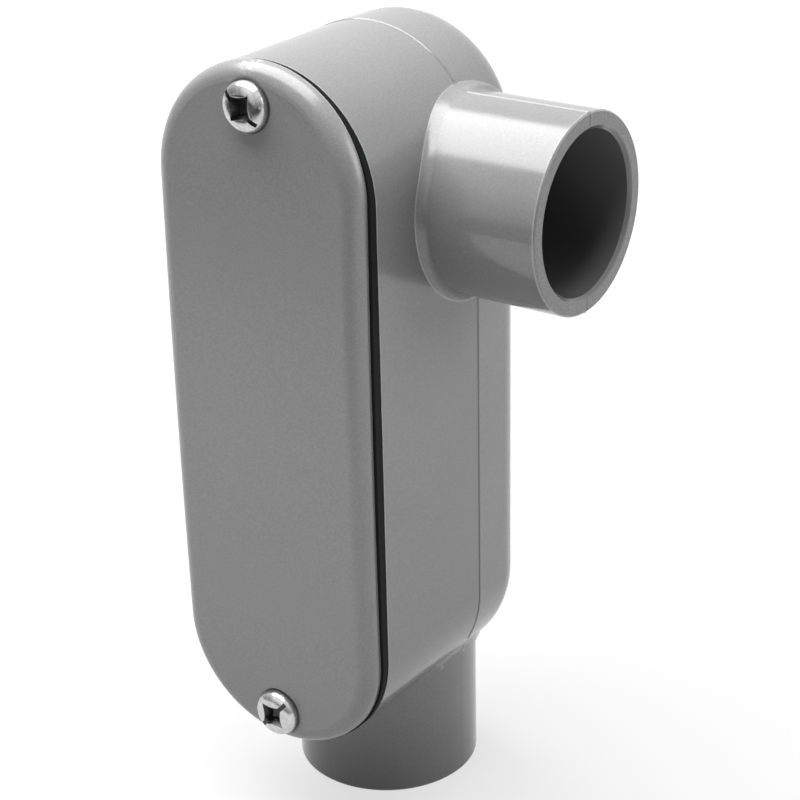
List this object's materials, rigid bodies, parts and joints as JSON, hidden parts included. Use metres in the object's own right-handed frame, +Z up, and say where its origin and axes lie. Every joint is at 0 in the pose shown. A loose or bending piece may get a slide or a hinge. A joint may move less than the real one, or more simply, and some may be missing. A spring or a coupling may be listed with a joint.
{
  "type": "conduit body",
  "caption": "Deep conduit body with round ends, a conduit socket out of its lower end, another out of its right side near the top, and a screwed front cover on a gasket.",
  "frame": {"origin": "centre of the lower socket's mouth, on the axis of the lower socket", "axes": "+Z up along the box, +X out of the side socket, -Y out of the cover; both socket axes and the parting line of the moulding lie in the plane y = 0"},
  "size_m": [0.062, 0.0512, 0.1384],
  "materials": {
    "body_plastic": "satin grey moulded PVC",
    "cover_plastic": "satin grey moulded PVC",
    "gasket_rubber": "dull black",
    "plated_steel": "bright zinc plating"
  },
  "bodies": {
    "root": {"body": "body_plastic", "cover": "cover_plastic", "gasket": "gasket_rubber", "cover_screw_top": "plated_steel", "cover_screw_bottom": "plated_steel"}
  },
  "joints": []
}
